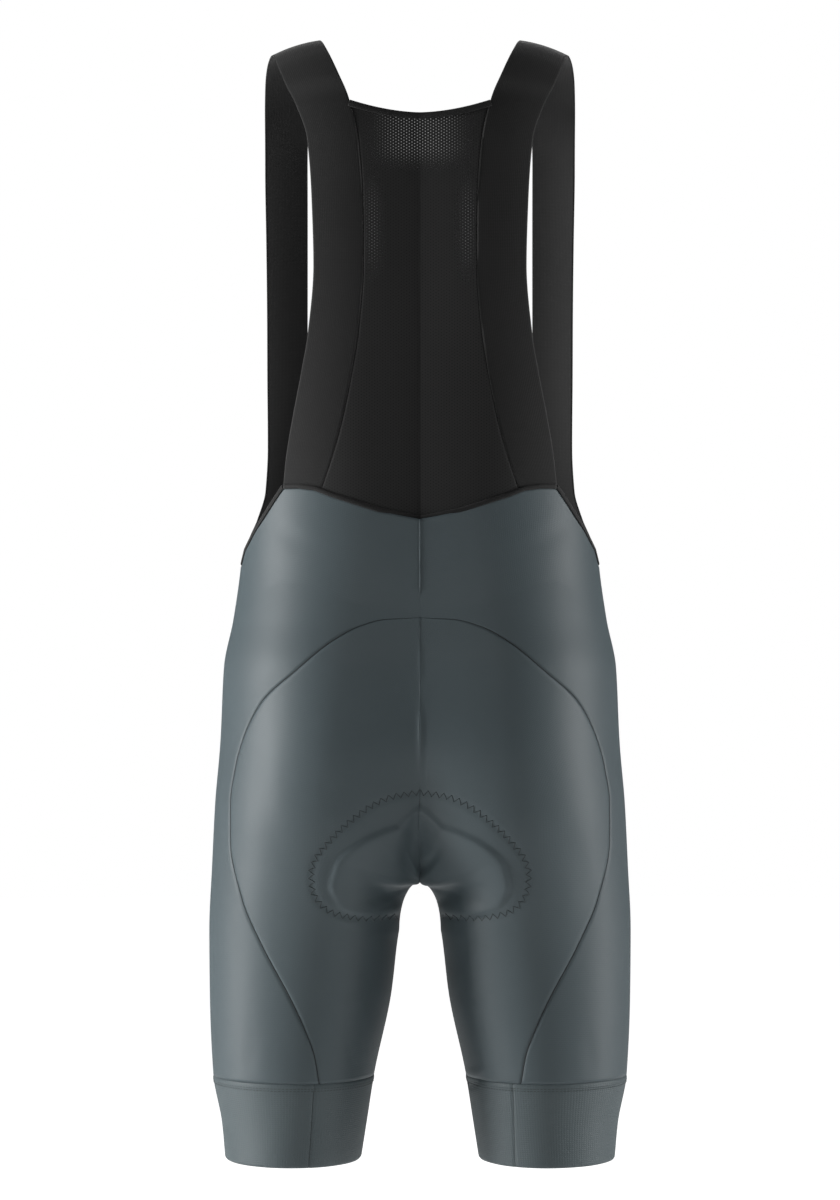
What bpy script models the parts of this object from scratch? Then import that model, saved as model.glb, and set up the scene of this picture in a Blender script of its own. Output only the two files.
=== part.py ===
"""Cycling bib shorts, worn shape without the wearer.

Lengths in the tables are millimetres: heights are measured up from the leg hems, x runs out from
the centre line and y runs from the seat (-Y) to the belly (+Y). The right half (+X) is worked out
and the left half is its mirror image. The origin lies between the straps at shoulder height.
"""

import functools
import math

import bmesh
import bpy
import numpy as np

MM = 0.001
SHOULDER_HEIGHT = 1000.0    # the origin's height above the hems
JERSEY_WALL = 1.2           # grey compression jersey
BAND_WALL = 1.5             # leg gripper, jersey with a silicone print inside
STRAP_WALL = 1.2            # knitted black strap
MESH_WALL = 1.0             # micro mesh of the back panel
BINDING_WALL = 1.0
PAD_WALL = 4.0              # the foam insert
SEAM_GAP = 0.3
OVAL_GAP = 0.45             # at the curved seat seam
PAD_GAP = 2.4               # between the jersey and the foam insert
BINDING_LIFT = 0.3
BINDING_CROWN = 0.4         # how far the middle of a folded binding stands above its edges
EDGE_LIFT = 0.9             # between the jersey's top edge and the black pieces above it
BAND_HEIGHT = 75.0
BINDING_WIDTH = 6.0
WAIST_BINDING_WIDTH = 4.0
BINDING_OVERLAP = 1.0       # how far the waist and opening bindings reach down over the jersey
NECK_OVERHANG = 0.5         # how far the neck binding stands above the mesh
# Distances from the centre line at which the bindings' sections lie.
WAIST_XS = (0.0, 12.0, 24.0, 36.0, 48.0, 60.0, 72.0, 82.0, 91.0, 98.0, 106.0, 113.0, 120.0)
OPENING_XS = (121.0, 126.5, 132.0, 139.0, 146.0, 151.5, 156.0, 159.0)
CROTCH_HEIGHT = 248.0       # top of the arch between the legs
CROTCH_ROW = 262.0          # the row, named by its height at the side, that ends at the crotch
ARCH_FOOT = 205.0           # where the arch starts to round in
CLEFT_TOP = 345.0           # where the fold between the halves has run out
RISE_TOP = 400.0            # where the rise curve has turned upright
SAG_REACH = 85.0            # how far from the centre a row dips down to the crotch
FRONT_SEAM = 0.40           # place of the front side seam, as a share of the way round
OVAL_TOP = 485.0            # where the oval seat seam meets the centre seam
SIDE_TIP = 531.0            # lowest point of the side opening
WAIST_BACK = 571.5          # waist seam at the centre of the back
LEVEL_START = 420.0         # rows are level below this and follow the waist seam at the top
INSEAM_SHARE = 0.0006       # half of the inseam's gap, as a share of the way round
SEAM_ROWS = 23              # rows of cloth that start on the oval seam
YOKE_ROWS = 4               # rows above it, up to the waist
SEAM_SHARE = 0.0007         # half of the front side seam's gap, as a share of the way round
PAD_FAN = 6                 # spokes of the insert round the crotch, on each side

# Sections of the body form: height, outer half width, inner edge of the leg, reach to the front
# and to the back, x of the front-most and back-most points, and groove depth at the centre.
FORM_COLUMNS = ("height", "outer", "inner", "front", "back", "front_x", "back_x", "groove")
FORM = (
    (0.0, 175.0, 53.0, 72.0, 74.0, 112.0, 112.0, 0.0),
    (32.0, 178.0, 48.0, 74.0, 77.0, 110.0, 110.0, 0.0),
    (76.0, 186.0, 41.0, 78.0, 82.0, 108.0, 108.0, 0.0),
    (146.0, 189.0, 26.0, 84.0, 88.0, 104.0, 102.0, 0.0),
    (205.0, 189.5, 18.5, 89.0, 96.0, 98.0, 94.0, 0.0),
    (262.0, 187.0, 0.0, 94.0, 110.0, 88.0, 86.0, 0.0),
    (321.0, 184.0, 0.0, 98.0, 124.0, 72.0, 80.0, 9.0),
    (376.0, 179.0, 0.0, 101.0, 129.0, 58.0, 74.0, 8.0),
    (441.0, 176.0, 0.0, 102.0, 123.0, 50.0, 66.0, 5.0),
    (484.0, 167.5, 0.0, 101.0, 112.0, 46.0, 58.0, 4.0),
    (535.0, 160.5, 0.0, 98.0, 100.0, 44.0, 50.0, 4.0),
    (600.0, 156.0, 0.0, 95.0, 92.0, 44.0, 46.0, 3.0),
    (700.0, 158.0, 0.0, 96.0, 90.0, 46.0, 46.0, 3.0),
    (800.0, 166.0, 0.0, 101.0, 98.0, 52.0, 48.0, 3.0),
    (900.0, 172.0, 0.0, 97.0, 103.0, 56.0, 50.0, 3.0),
    (960.0, 172.0, 0.0, 86.0, 96.0, 56.0, 50.0, 2.0),
)

# The oval seat seam on the back of the right half: x and height, from the leg band to its top.
OVAL_SEAM = (
    (88.5, 75.0), (93.0, 101.0), (101.5, 124.0), (114.5, 152.0), (139.5, 198.0),
    (157.0, 237.0), (168.0, 289.0), (168.0, 321.0), (163.0, 354.0), (153.5, 385.0),
    (138.0, 413.0), (108.0, 440.0), (78.5, 464.0), (53.0, 478.0), (30.0, 484.0), (0.0, 485.0),
)

# Top edge of the jersey: x and height, on the back from the centre to the tip of the side
# opening, and on the front from the centre to the same tip.
BACK_TOP = (
    (0.0, 571.5), (35.0, 578.5), (77.0, 592.0), (92.0, 598.0), (106.0, 600.0), (121.0, 600.0),
    (132.0, 584.0), (146.0, 563.0), (156.0, 545.0), (160.0, 531.0),
)
FRONT_TOP = ((0.0, 548.0), (60.0, 550.0), (104.0, 560.0), (160.0, 531.0))

# Strap sections from the back waist over the shoulder to the front waist: x, height and y of
# the inner edge, then of the outer edge. A y of None lies on the body form.
STRAP_COLUMNS = ("inner_x", "inner_h", "inner_y", "outer_x", "outer_h", "outer_y")
STRAP_BACK = (
    (88.0, 597.4, None, 121.0, 600.6, None),
    (77.0, 629.0, None, 118.0, 629.0, None),
    (67.0, 668.0, None, 112.0, 664.0, None),
    (59.5, 706.0, None, 105.0, 700.0, None),
    (54.0, 743.0, None, 98.5, 737.0, None),
    (50.0, 795.0, None, 93.5, 795.0, None),
    (50.5, 852.0, None, 95.0, 852.0, None),
    (54.5, 905.0, None, 99.0, 905.0, None),
    (61.5, 938.0, None, 108.0, 933.0, None),
)
STRAP_SHOULDER = (
    (72.0, 966.0, -70.0, 119.0, 957.0, -62.0),
    (82.0, 989.0, -44.0, 127.0, 977.0, -39.0),
    (88.0, 1001.0, -20.0, 131.0, 988.0, -18.0),
    (91.0, 1004.5, 2.0, 134.0, 991.0, 3.0),
    (95.0, 1000.0, 26.0, 138.0, 986.0, 24.0),
    (99.0, 984.0, 50.0, 141.0, 970.0, 44.0),
    (102.0, 955.0, 68.0, 142.0, 942.0, 59.0),
)
STRAP_FRONT = (
    (104.0, 900.0, None, 142.0, 895.0, None),
    (104.0, 830.0, None, 141.0, 830.0, None),
    (104.0, 760.0, None, 140.0, 760.0, None),
    (104.0, 700.0, None, 139.5, 700.0, None),
    (104.0, 640.0, None, 139.0, 640.0, None),
    (104.0, 600.0, None, 141.0, 600.0, None),
    (104.0, 582.0, None, 148.0, 574.0, None),
    (104.0, 570.0, None, 156.0, 552.0, None),
    (104.0, 561.2, None, 159.0, 534.2, None),
)
NECK_CENTRE = 927.0

# Half outline of the foam insert on the seat: height of the row at the side, and x of its edge.
PAD_EDGE = ((262.0, 93.0), (275.0, 96.0), (292.0, 92.0), (308.0, 76.0), (322.0, 52.0), (334.0, 18.0))
PAD_FRONT_EDGE = ((262.0, 62.0), (290.0, 50.0), (320.0, 40.0), (345.0, 16.0))
PAD_DROP = 34.0             # reach of the insert down the inner thigh


def spline(xs, ys, where):
    """Smooth curve through the points of a table that never overshoots them."""
    xs = np.asarray(xs, float)
    ys = np.asarray(ys, float)
    step = np.diff(xs)
    slope = np.diff(ys) / step
    tangent = np.zeros(len(xs))
    same_way = slope[:-1] * slope[1:] > 0
    mean = 2 * slope[:-1] * slope[1:] / np.where(same_way, slope[:-1] + slope[1:], 1)
    tangent[1:-1] = np.where(same_way, mean, 0)
    tangent[0] = slope[0]
    tangent[-1] = slope[-1]
    where = np.clip(where, xs[0], xs[-1])
    k = np.clip(np.searchsorted(xs, where, side="right") - 1, 0, len(step) - 1)
    s = (where - xs[k]) / step[k]
    value = ys[k] * (1 + 2 * s) * (1 - s) ** 2 + ys[k + 1] * s * s * (3 - 2 * s)
    return value + step[k] * (tangent[k] * s * (1 - s) ** 2 - tangent[k + 1] * s * s * (1 - s))


def form(column, height):
    place = FORM_COLUMNS.index(column)
    return spline([row[0] for row in FORM], [row[place] for row in FORM], height)


def smoothstep(s):
    s = np.clip(s, 0, 1)
    return s * s * (3 - 2 * s)


def row_end(r, side):
    """Inner end of row r, on the front (+1) or the back (-1): x, y and height."""
    reach = form("front" if side > 0 else "back", RISE_TOP) - form("groove", RISE_TOP)
    if r <= ARCH_FOOT:
        return float(form("inner", r)), 0.0, r
    if r <= CROTCH_ROW:
        turn = math.pi / 2 * (r - ARCH_FOOT) / (CROTCH_ROW - ARCH_FOOT)
        foot = float(form("inner", ARCH_FOOT))
        return foot * math.cos(turn), 0.0, ARCH_FOOT + (CROTCH_HEIGHT - ARCH_FOOT) * math.sin(turn)
    if r <= RISE_TOP:
        turn = math.pi / 2 * (r - CROTCH_ROW) / (RISE_TOP - CROTCH_ROW)
        lift = (RISE_TOP - CROTCH_HEIGHT) * (1 - math.cos(turn))
        return 0.0, side * reach * math.sin(turn), CROTCH_HEIGHT + lift
    depth = form("front" if side > 0 else "back", r) - form("groove", r)
    return 0.0, side * float(depth), r


def cloth(t, r):
    """Point of the outer surface: t runs from the front (0) round the side (0.5) to the back (1)."""
    side = 1 if t < 0.5 else -1
    outer = float(form("outer", r))
    far = float(form("front" if side > 0 else "back", r))
    far_x = float(form("front_x" if side > 0 else "back_x", r))
    end_x, end_y, end_h = row_end(r, side)
    turn = abs(t - 0.5) * 2 * math.pi
    if turn <= math.pi / 2:
        x = far_x + (outer - far_x) * math.cos(turn)
        y = side * far * math.sin(turn)
    else:
        turn -= math.pi / 2
        round_in = 1 - smoothstep((r - CROTCH_ROW) / (CLEFT_TOP - CROTCH_ROW))
        ease = round_in * math.cos(turn) + (1 - round_in) * (0.5 + 0.5 * math.cos(2 * turn))
        x = far_x - (far_x - end_x) * math.sin(turn)
        y = end_y + (side * far - end_y) * ease
    sag = smoothstep(1 - (x - end_x) / SAG_REACH)
    return np.array((x, y, r + (end_h - r) * sag))


def share_at(x, r, side):
    """How far round row r lies the point with this x, on the front (+1) or the back (-1)."""
    steps = np.linspace(0.5, 1 if side < 0 else 0, 81)
    xs = np.array([cloth(t, r)[0] for t in steps])
    return float(np.interp(-x, -xs, steps))


def on_form(x, height, side):
    """Point of the body form above the waist with this x and height."""
    return cloth(share_at(x, height, side), height)


def edge_height(table, x):
    return float(np.interp(x, [row[0] for row in table], [row[1] for row in table]))


@functools.cache
def top_edge(t):
    """Height of the jersey's top edge at t."""
    table = FRONT_TOP if t < 0.5 else BACK_TOP
    r = WAIST_BACK
    for _ in range(6):
        r = edge_height(table, cloth(t, r)[0])
    return r


def level(t, r):
    """Number that is the same all along a row of the jersey, and that names the row."""
    weight = smoothstep((r - LEVEL_START) / (SIDE_TIP - LEVEL_START))
    return r - (top_edge(t) - WAIST_BACK) * weight


def row_height(t, name):
    heights = np.linspace(0, 640, 641)
    names = heights - (top_edge(t) - WAIST_BACK) * smoothstep(
        (heights - LEVEL_START) / (SIDE_TIP - LEVEL_START)
    )
    return float(np.interp(name, names, heights))


def seam_points(count):
    """Points at even steps along the oval seat seam, as (t, r), and its normals in (x, height)."""
    table = np.array(OVAL_SEAM)
    reach = np.append(0, np.cumsum(np.hypot(*np.diff(table, axis=0).T)))
    steps = np.linspace(0, reach[-1], count)
    xs = spline(reach, table[:, 0], steps)
    heights = spline(reach, table[:, 1], steps)
    along = np.gradient(np.stack([xs, heights], axis=1), steps, axis=0)
    along /= np.linalg.norm(along, axis=1)[:, None]
    normals = np.stack([along[:, 1], -along[:, 0]], axis=1)
    return np.stack([xs, heights], axis=1), normals


def row_between(start, end_t, names, columns, crowd=1.0):
    """Points of a jersey row from start, a (t, r) on a seam, to the share end_t.

    A crowd over 1 brings the points closer together at the start.
    """
    shift = start[1] - row_height(start[0], names[0])
    points = []
    for u in np.linspace(0, 1, columns + 1) ** crowd:
        t = start[0] + (end_t - start[0]) * u
        name = names[0] + (names[1] - names[0]) * u
        points.append(cloth(t, row_height(t, name) + shift * (1 - u)))
    return points


def surface_normal(t, r):
    """Outward normal of the cloth."""
    step = 0.002
    t = min(max(t, step), 1 - step)
    if t < 0.5 < t + step or t - step < 0.5 < t:
        t = 0.5 - 2 * step
    around = cloth(t + step, r) - cloth(t - step, r)
    up = cloth(t, r + 1) - cloth(t, r - 1)
    normal = np.cross(up, around)
    return normal / np.linalg.norm(normal)


def material(name, colour, roughness):
    made = bpy.data.materials.new(name)
    made.use_nodes = True
    shader = made.node_tree.nodes["Principled BSDF"]
    shader.inputs["Base Color"].default_value = (*colour, 1)
    shader.inputs["Roughness"].default_value = roughness
    shader.inputs["Metallic"].default_value = 0
    return made


def cloth_object(name, rows, wall, finish, mirror=False, closed=False):
    """A wall of cloth: a grid of faces through the rows, thickened inwards by Solidify."""
    flip = -1 if mirror else 1
    mesh = bmesh.new()
    grid = []
    for row in rows:
        line = []
        for x, y, h in row:
            line.append(mesh.verts.new((flip * x * MM, y * MM, (h - SHOULDER_HEIGHT) * MM)))
        grid.append(line)
    for low, high in zip(grid, grid[1:]):
        pairs = list(zip(low, low[1:], high, high[1:]))
        if closed:
            pairs.append((low[-1], low[0], high[-1], high[0]))
        for a, b, c, d in pairs:
            corners = (a, c, d, b)
            mesh.faces.new(corners[::-1] if mirror else corners)
    bmesh.ops.remove_doubles(mesh, verts=mesh.verts, dist=0.02 * MM)
    bmesh.ops.triangulate(mesh, faces=mesh.faces, quad_method="SHORT_EDGE")
    data = bpy.data.meshes.new(name)
    mesh.to_mesh(data)
    mesh.free()
    data.shade_smooth()
    data.materials.append(finish)
    made = bpy.data.objects.new(name, data)
    bpy.context.scene.collection.objects.link(made)
    solid = made.modifiers.new("wall", "SOLIDIFY")
    solid.thickness = wall * MM
    solid.offset = -1
    solid.use_even_offset = False
    solid.use_quality_normals = True
    return made


def centre_shift(rows, gap, end):
    """Moves the ends of the rows off the centre plane by half a seam gap."""
    for row in rows:
        if abs(row[end][0]) < gap:
            row[end][0] = gap
    return rows


def centre_names(count, top):
    """Names of rows at the centre, closer together round the crotch."""
    shares = (0.0, 0.2, 0.38, 0.62, 1.0)
    names = (BAND_HEIGHT + SEAM_GAP / 2, ARCH_FOOT, CROTCH_ROW, 320.0, top)
    return np.interp(np.linspace(0, 1, count), shares, names)


def side_names():
    """Names of the rows at the front side seam."""
    return np.linspace(BAND_HEIGHT + SEAM_GAP / 2, WAIST_BACK, SEAM_ROWS + YOKE_ROWS)


def seam_starts(offset):
    """(t, r) of the points of the oval seam, moved off it by offset."""
    seam, normals = seam_points(SEAM_ROWS)
    places = seam + normals * offset
    places[0, 1] = BAND_HEIGHT + SEAM_GAP / 2
    places[-1, 0] = max(places[-1, 0], 0)
    return [(share_at(x, height, -1), height) for x, height in places]


def seat_rows():
    starts = seam_starts(-OVAL_GAP / 2)[:-1]
    rows = []
    for start, name in zip(starts, centre_names(len(starts), OVAL_TOP - 1)):
        rows.append(row_between(start, 1 - INSEAM_SHARE, (level(*start), name), 9, 0.8))
    return centre_shift(rows, SEAM_GAP / 2, -1)


def side_rows():
    starts = seam_starts(OVAL_GAP / 2)
    yoke = np.linspace(OVAL_TOP, WAIST_BACK, YOKE_ROWS + 1)[1:]
    starts += [(1.0, row_height(1.0, name)) for name in yoke]
    rows = []
    for start, name in zip(starts, side_names()):
        row = row_between(start, FRONT_SEAM + SEAM_SHARE, (level(*start), name), 11)
        rows.append(row[::-1])
    return centre_shift(rows, SEAM_GAP / 2, -1)


def front_rows():
    names = side_names()
    rows = []
    for inner, outer in zip(centre_names(len(names), WAIST_BACK), names):
        start = (INSEAM_SHARE, row_height(INSEAM_SHARE, inner))
        rows.append(row_between(start, FRONT_SEAM - SEAM_SHARE, (inner, outer), 9, 1.3))
    return centre_shift(rows, SEAM_GAP / 2, 0)


def band_rows():
    half = SEAM_GAP / 2
    rows = []
    for r in np.linspace(0, BAND_HEIGHT - half, 3):
        rows.append([cloth(t, r) for t in np.linspace(0, 1, 25)[:-1]])
    return rows


def strap_sections(columns=2):
    """Sections of the strap, from its back waist edge over the shoulder to the front waist."""
    sections = []
    for part, side in ((STRAP_BACK, -1), (STRAP_SHOULDER, 0), (STRAP_FRONT, 1)):
        for inner_x, inner_h, inner_y, outer_x, outer_h, outer_y in part:
            row = []
            for u in np.linspace(1, 0, columns + 1):
                x = inner_x + (outer_x - inner_x) * u
                h = inner_h + (outer_h - inner_h) * u
                if not sections:
                    h = edge_height(BACK_TOP, x) + EDGE_LIFT
                if side:
                    row.append(on_form(x, h, side))
                else:
                    row.append(np.array((x, inner_y + (outer_y - inner_y) * u, h)))
            sections.append(row)
    return np.array(sections)


def strap_rows(between=1):
    """The strap's sections with smooth ones between them."""
    sections = strap_sections()
    middle = sections.mean(axis=1)
    reach = np.append(0, np.cumsum(np.linalg.norm(np.diff(middle, axis=0), axis=1)))
    count = len(sections)
    steps = np.interp(np.linspace(0, count - 1, (count - 1) * (between + 1) + 1), range(count), reach)
    rows = np.empty((len(steps), *sections.shape[1:]))
    for column in range(sections.shape[1]):
        for axis in range(3):
            rows[:, column, axis] = spline(reach, sections[:, column, axis], steps)
    return rows


def mesh_panel_rows(strap, columns=10):
    """Rows of the back mesh panel, from strap to strap, from the waist up to the neck."""
    edges = strap[: 2 * len(STRAP_BACK) - 1, -1]
    foot = WAIST_BACK + EDGE_LIFT
    rows = []
    for k, edge in enumerate(edges):
        centre = foot + (NECK_CENTRE - foot) * k / (len(edges) - 1)
        row = []
        for u in np.linspace(1, -1, columns + 1):
            x = abs(u) * (edge[0] - SEAM_GAP)
            if k:
                h = centre + (edge[2] - centre) * abs(u) ** 1.6
            else:
                h = edge_height(BACK_TOP, x) + EDGE_LIFT
            point = on_form(x, h, -1)
            point[0] *= math.copysign(1, u)
            row.append(point)
        rows.append(row)
    return rows


def edge_strip(places, width, below, wall):
    """Rows of a strip along places, (t, r) on the cloth's edge, reaching below and above it."""
    points = np.array([cloth(t, r) for t, r in places])
    normals = np.array([surface_normal(t, r) for t, r in places])
    along = np.gradient(points, axis=0)
    across = np.cross(normals, along)
    across /= np.linalg.norm(across, axis=1)[:, None]
    across *= np.sign(across[:, 2].mean())
    strip = []
    for u in (0, 0.5, 1):
        lift = BINDING_LIFT + wall + BINDING_CROWN * 4 * u * (1 - u)
        strip.append(points + normals * lift + across * (width * u - below))
    return strip


def back_edge_places(xs):
    """(t, r) at each x along the back top edge."""
    heights = [edge_height(BACK_TOP, x) for x in xs]
    return [(share_at(x, h, -1), h) for x, h in zip(xs, heights)]


def both_halves(rows):
    """Rows that run out from the centre, made whole from the right end to the left end."""
    whole = []
    for row in rows:
        right = [np.array(point) for point in row]
        right[0][0] = 0.0
        left = [point * (-1, 1, 1) for point in right[1:]]
        whole.append(right[:0:-1] + right[:1] + left)
    return whole


def neck_rows(top_row):
    """Binding along the neck edge of the mesh panel, from strap to strap."""
    half = top_row[len(top_row) // 2::-1]
    places = [(share_at(x, h, -1), h) for x, _, h in half]
    below = BINDING_WIDTH - NECK_OVERHANG
    return both_halves(edge_strip(places, BINDING_WIDTH, below, BINDING_WALL))


def centre_normal(r, side):
    """Outward normal of the rise curve, in the centre plane."""
    if r <= CROTCH_ROW:
        return np.array((0.0, 0.0, -1.0))
    _, y_low, h_low = row_end(r - 1, side)
    _, y_high, h_high = row_end(r + 1, side)
    normal = np.array((0.0, side * (h_high - h_low), -side * (y_high - y_low)))
    return normal / np.linalg.norm(normal)


def pad_rows(columns=7):
    """Foam insert: rows from the seat, spokes round the crotch, then rows up the front."""
    spokes = []
    back_share = share_at(PAD_EDGE[0][1], CROTCH_ROW, -1)
    front_share = share_at(PAD_FRONT_EDGE[0][1], CROTCH_ROW, 1)
    for r, x in PAD_EDGE[::-1]:
        spokes.append(((1.0, r), (share_at(x, r, -1), r)))
    for k in range(1, PAD_FAN):
        turn = math.pi * k / PAD_FAN
        foot = CROTCH_ROW - PAD_DROP * math.sin(turn)
        if turn < math.pi / 2:
            spokes.append(((1.0, CROTCH_ROW), (1 - (1 - back_share) * math.cos(turn), foot)))
        else:
            spokes.append(((0.0, CROTCH_ROW), (-front_share * math.cos(turn), foot)))
    for r, x in PAD_FRONT_EDGE:
        spokes.append(((0.0, r), (share_at(x, r, 1), r)))
    rows = []
    for start, end in spokes:
        row = []
        for u in np.linspace(0, 1, columns + 1):
            t = start[0] + (end[0] - start[0]) * u
            r = start[1] + (end[1] - start[1]) * u
            normal = surface_normal(t, r) if u else centre_normal(r, 1 if t < 0.5 else -1)
            row.append(cloth(t, r) - normal * (JERSEY_WALL + PAD_GAP))
        rows.append(row)
    return both_halves(rows)[::-1]


def main():
    for old in list(bpy.data.objects):
        bpy.data.objects.remove(old, do_unlink=True)
    grey = material("grey_jersey", (0.08, 0.1, 0.11), 0.55)
    band_grey = material("grey_band", (0.09, 0.11, 0.12), 0.5)
    black = material("black_strap", (0.012, 0.012, 0.012), 0.8)
    mesh_black = material("black_mesh", (0.015, 0.015, 0.015), 0.85)
    trim_black = material("black_binding", (0.008, 0.008, 0.008), 0.7)
    foam = material("pad_foam", (0.05, 0.06, 0.065), 0.9)
    seat = seat_rows()
    side = side_rows()
    front = front_rows()
    band = band_rows()
    strap = strap_rows()
    mesh_panel = mesh_panel_rows(strap)
    opening_places = back_edge_places(OPENING_XS)
    opening = edge_strip(opening_places, WAIST_BINDING_WIDTH, BINDING_OVERLAP, BINDING_WALL)
    opening_strip = [row[::-1] for row in opening]
    waist = edge_strip(back_edge_places(WAIST_XS), WAIST_BINDING_WIDTH, BINDING_OVERLAP, BINDING_WALL)
    for suffix, mirror in (("right", False), ("left", True)):
        cloth_object(f"seat_panel_{suffix}", seat, JERSEY_WALL, grey, mirror)
        cloth_object(f"side_panel_{suffix}", side, JERSEY_WALL, grey, mirror)
        cloth_object(f"front_panel_{suffix}", front, JERSEY_WALL, grey, mirror)
        cloth_object(f"leg_band_{suffix}", band, BAND_WALL, band_grey, mirror, closed=True)
        cloth_object(f"strap_{suffix}", strap, STRAP_WALL, black, mirror)
        cloth_object(f"opening_binding_{suffix}", opening_strip, BINDING_WALL, trim_black, mirror)
    cloth_object("back_mesh_panel", mesh_panel, MESH_WALL, mesh_black)
    cloth_object("neck_binding", neck_rows(mesh_panel[-1]), BINDING_WALL, trim_black)
    cloth_object("waist_binding", both_halves(waist), BINDING_WALL, trim_black)
    cloth_object("chamois_pad", pad_rows(), PAD_WALL, foam)


main()
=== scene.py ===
import functools
import math

import bmesh
import bpy
import numpy as np
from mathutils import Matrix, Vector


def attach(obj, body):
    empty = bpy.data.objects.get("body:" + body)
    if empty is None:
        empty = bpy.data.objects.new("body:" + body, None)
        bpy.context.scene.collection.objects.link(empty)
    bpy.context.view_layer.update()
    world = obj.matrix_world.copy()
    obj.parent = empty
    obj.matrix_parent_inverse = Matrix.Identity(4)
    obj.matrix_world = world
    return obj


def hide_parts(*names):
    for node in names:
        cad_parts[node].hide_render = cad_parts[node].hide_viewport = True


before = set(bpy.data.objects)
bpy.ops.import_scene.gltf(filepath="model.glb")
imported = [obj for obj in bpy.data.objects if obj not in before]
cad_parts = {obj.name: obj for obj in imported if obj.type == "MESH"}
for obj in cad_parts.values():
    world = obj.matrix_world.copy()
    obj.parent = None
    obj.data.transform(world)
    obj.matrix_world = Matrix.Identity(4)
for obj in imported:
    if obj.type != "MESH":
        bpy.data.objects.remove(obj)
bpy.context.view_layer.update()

# ----------------------------------------------------------
# Studio: a white paper floor and white surroundings, two tall soft boxes at the sides, a weak
# one above the camera and one on the far side. The camera stands behind the garment, level with
# its middle.
# ----------------------------------------------------------

MM = 0.001
SHOULDER_HEIGHT = 1000.0    # height of the frame's origin above the leg hems, in mm
FLOOR_LEVEL = -1.45
SIDE_TARGET, SIDE_SIZE = (0, 0, -0.55), (0.6, 2.0)      # tall boxes at the sides
HIGH_TARGET, HIGH_SIZE = (0, 0, -0.4), (1.6, 1.0)       # wide boxes above
scene = bpy.context.scene


def linear(hex_colour):
    """Linear colour of an sRGB hex value."""
    parts = [int(hex_colour[k:k + 2], 16) / 255 for k in (1, 3, 5)]
    return [c / 12.92 if c <= 0.04045 else ((c + 0.055) / 1.055) ** 2.4 for c in parts] + [1.0]


def add_node(tree, kind, settings=(), links=(), **attributes):
    """Adds a node, sets its attributes and sockets, and links (socket, from_node, output)."""
    node = tree.nodes.new(kind)
    for name, value in attributes.items():
        setattr(node, name, value)
    for socket, value in dict(settings).items():
        node.inputs[socket].default_value = value
    for socket, source, output in links:
        tree.links.new(source.outputs[output], node.inputs[socket])
    return node


def new_material(name):
    """An empty node material and its tree, ending in a Principled shader."""
    made = bpy.data.materials.new(name)
    made.use_nodes = True
    return made, made.node_tree, made.node_tree.nodes["Principled BSDF"]


def paper_white():
    """Matt white paper, bright to the camera, with little glow on the cloth."""
    made, tree, shader = new_material("floor_paper")
    shader.inputs["Base Color"].default_value = linear("#f6f6f6")
    shader.inputs["Roughness"].default_value = 0.9
    shader.inputs["Specular IOR Level"].default_value = 0.1
    shader.inputs["Emission Color"].default_value = linear("#ffffff")
    ray = add_node(tree, "ShaderNodeLightPath")
    glow = add_node(tree, "ShaderNodeMapRange", {"To Min": 0.12, "To Max": 0.95},
                    [("Value", ray, "Is Camera Ray")])
    tree.links.new(glow.outputs["Result"], shader.inputs["Emission Strength"])
    return made


def link(name, mesh_data, finish):
    made = bpy.data.objects.new(name, mesh_data)
    scene.collection.objects.link(made)
    mesh_data.materials.append(finish)
    return made


def floor():
    shape = bmesh.new()
    bmesh.ops.create_circle(shape, cap_ends=True, segments=64, radius=9.0)
    bmesh.ops.translate(shape, verts=shape.verts, vec=(0.0, 0.0, FLOOR_LEVEL))
    data = bpy.data.meshes.new("floor")
    shape.to_mesh(data)
    shape.free()
    link("floor", data, paper_white())


def soft_box(name, place, target, size, power):
    lamp = bpy.data.lights.new(name, "AREA")
    lamp.shape = "RECTANGLE"
    lamp.size, lamp.size_y = size
    lamp.energy = power
    made = bpy.data.objects.new(name, lamp)
    made.location = place
    made.rotation_euler = (Vector(target) - Vector(place)).to_track_quat("-Z", "Y").to_euler()
    scene.collection.objects.link(made)


def camera():
    distance = 3.5
    middle = (501.0 - SHOULDER_HEIGHT) * MM
    view_height = 1080.0 * MM
    made = bpy.data.cameras.new("camera")
    made.sensor_width = 36.0
    made.lens = made.sensor_width * distance / view_height
    stand = bpy.data.objects.new("camera", made)
    stand.location = (0.0, -distance, middle)
    stand.rotation_euler = (math.pi / 2, 0, 0)
    scene.collection.objects.link(stand)
    scene.camera = stand


world = bpy.data.worlds.new("studio")
world.use_nodes = True
sky = world.node_tree.nodes["Background"]
sky.inputs["Color"].default_value = linear("#ffffff")
seen = add_node(world.node_tree, "ShaderNodeLightPath")
level = add_node(world.node_tree, "ShaderNodeMapRange", {"To Min": 0.05, "To Max": 1.0},
                 [("Value", seen, "Is Camera Ray")])
world.node_tree.links.new(level.outputs["Result"], sky.inputs["Strength"])
scene.world = world
scene.view_settings.view_transform = "Standard"
floor()
camera()
soft_box("side_box_left", (-2.6, -0.35, -0.3), SIDE_TARGET, SIDE_SIZE, 98)
soft_box("side_box_right", (2.6, -0.1, -0.3), SIDE_TARGET, SIDE_SIZE, 54)
soft_box("front_box", (0.0, -3.0, 1.4), HIGH_TARGET, HIGH_SIZE, 17)
soft_box("far_box", (0.6, 2.8, 1.7), HIGH_TARGET, HIGH_SIZE, 26)

# ----------------------------------------------------------
# The worn shape. The right half of the garment is worked out and the left half mirrors it.
# t runs from the front centre or inseam (0) round the side (0.5) to the back (1), and r names a
# row of the cloth by its height at the side. Lengths in the tables are millimetres.
# ----------------------------------------------------------

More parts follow.
